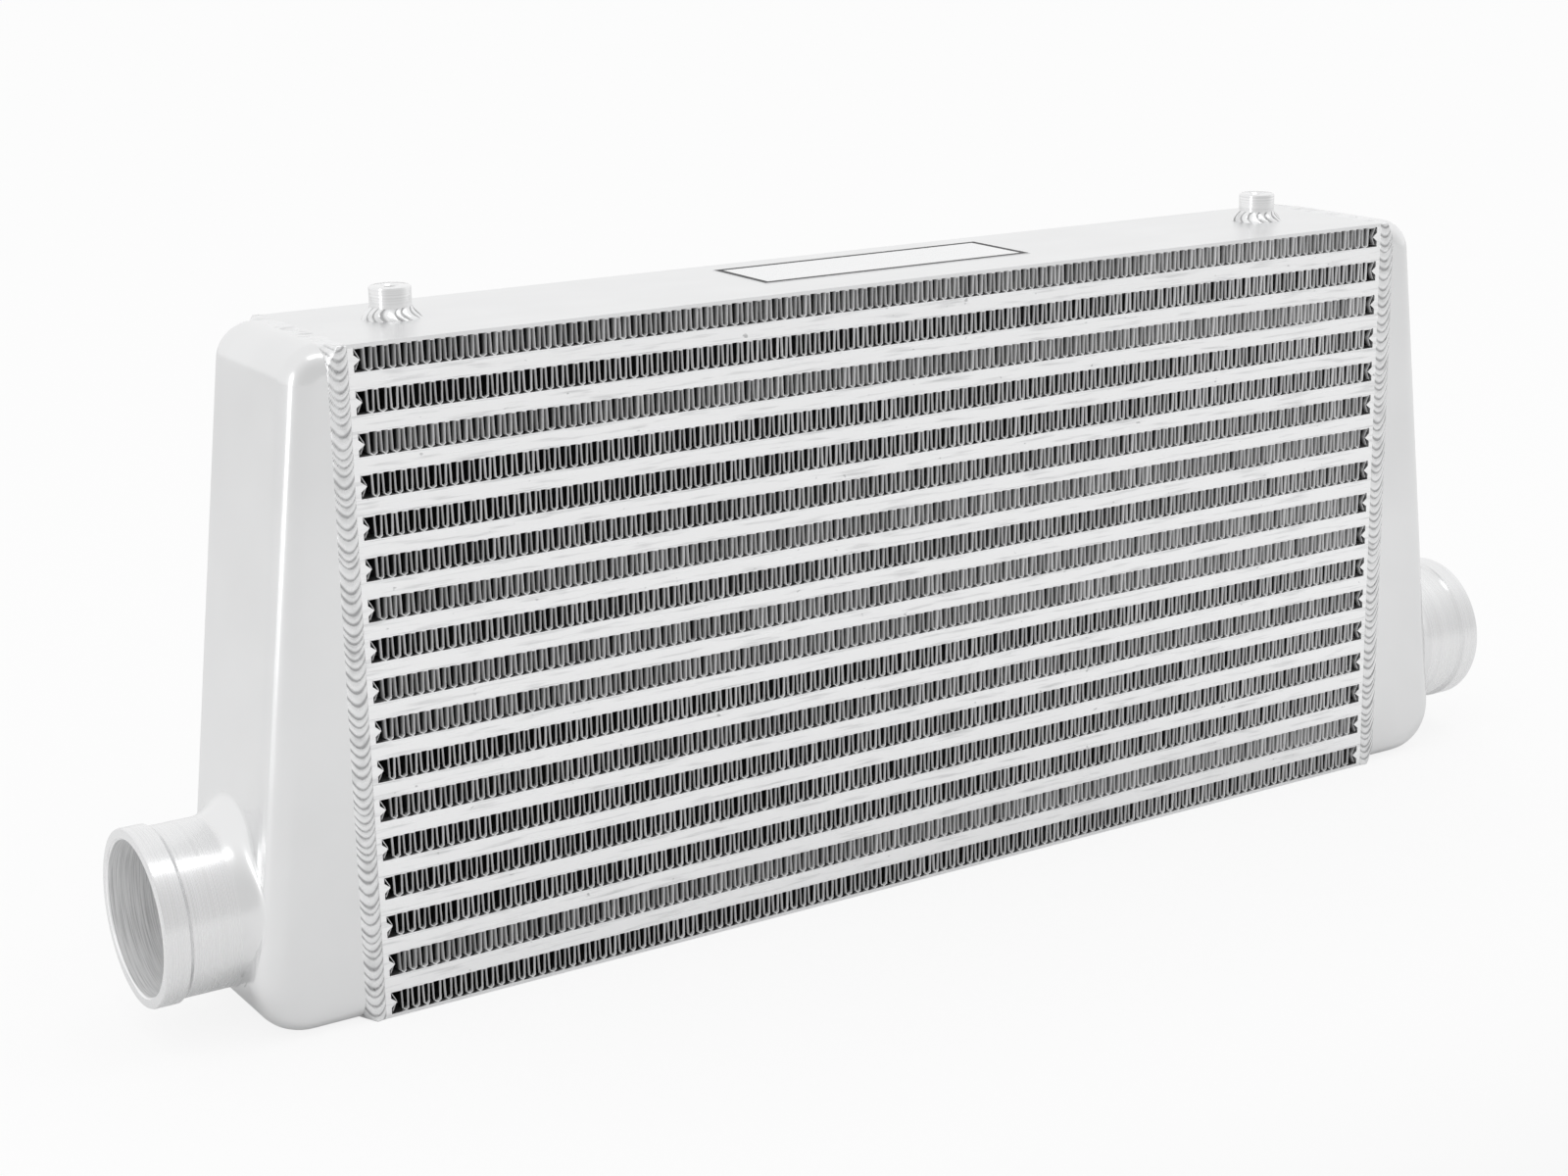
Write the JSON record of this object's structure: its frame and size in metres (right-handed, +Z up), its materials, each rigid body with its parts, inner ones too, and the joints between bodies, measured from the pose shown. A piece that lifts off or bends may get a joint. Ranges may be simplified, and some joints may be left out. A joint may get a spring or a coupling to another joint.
{
  "type": "intercooler",
  "caption": "Air-to-air charge cooler: brazed bar-and-plate core, tapered cast end tanks with hose necks low on each end, threaded mounting bosses on top.",
  "frame": {"origin": "middle of the underside of the bottom plate, below the centre of the core", "axes": "+X along the core towards the right tank seen from the front, +Y from the front to the rear along the cooling air's way, +Z up"},
  "size_m": [0.768, 0.093, 0.314],
  "materials": {
    "core_bar": "brushed",
    "fin_strip": "mill finish",
    "inner_fin_strip": "mill finish",
    "cast_tank": "satin cast",
    "weld_metal": "as welded",
    "turned_boss": "turned"
  },
  "bodies": {
    "root": {"top_plate": "core_bar", "bottom_plate": "core_bar", "cooling_fin_01": "fin_strip", "cooling_fin_02": "fin_strip", "cooling_fin_03": "fin_strip", "cooling_fin_04": "fin_strip", "cooling_fin_05": "fin_strip", "cooling_fin_06": "fin_strip", "cooling_fin_07": "fin_strip", "cooling_fin_08": "fin_strip", "cooling_fin_09": "fin_strip", "cooling_fin_10": "fin_strip", "cooling_fin_11": "fin_strip", "cooling_fin_12": "fin_strip", "cooling_fin_13": "fin_strip", "cooling_fin_14": "fin_strip", "cooling_fin_15": "fin_strip", "cooling_fin_16": "fin_strip", "cooling_fin_17": "fin_strip", "tube_01": "core_bar", "tube_02": "core_bar", "tube_03": "core_bar", "tube_04": "core_bar", "tube_05": "core_bar", "tube_06": "core_bar", "tube_07": "core_bar", "tube_08": "core_bar", "tube_09": "core_bar", "tube_10": "core_bar", "tube_11": "core_bar", "tube_12": "core_bar", "tube_13": "core_bar", "tube_14": "core_bar", "tube_15": "core_bar", "tube_16": "core_bar", "turbulator_01": "inner_fin_strip", "turbulator_02": "inner_fin_strip", "turbulator_03": "inner_fin_strip", "turbulator_04": "inner_fin_strip", "turbulator_05": "inner_fin_strip", "turbulator_06": "inner_fin_strip", "turbulator_07": "inner_fin_strip", "turbulator_08": "inner_fin_strip", "turbulator_09": "inner_fin_strip", "turbulator_10": "inner_fin_strip", "turbulator_11": "inner_fin_strip", "turbulator_12": "inner_fin_strip", "turbulator_13": "inner_fin_strip", "turbulator_14": "inner_fin_strip", "turbulator_15": "inner_fin_strip", "turbulator_16": "inner_fin_strip", "end_bars_left": "core_bar", "end_bars_right": "core_bar", "tank_left": "cast_tank", "tank_right": "cast_tank", "weld_left": "weld_metal", "weld_right": "weld_metal", "mount_bosses": "turned_boss", "boss_welds": "weld_metal"}
  },
  "joints": []
}
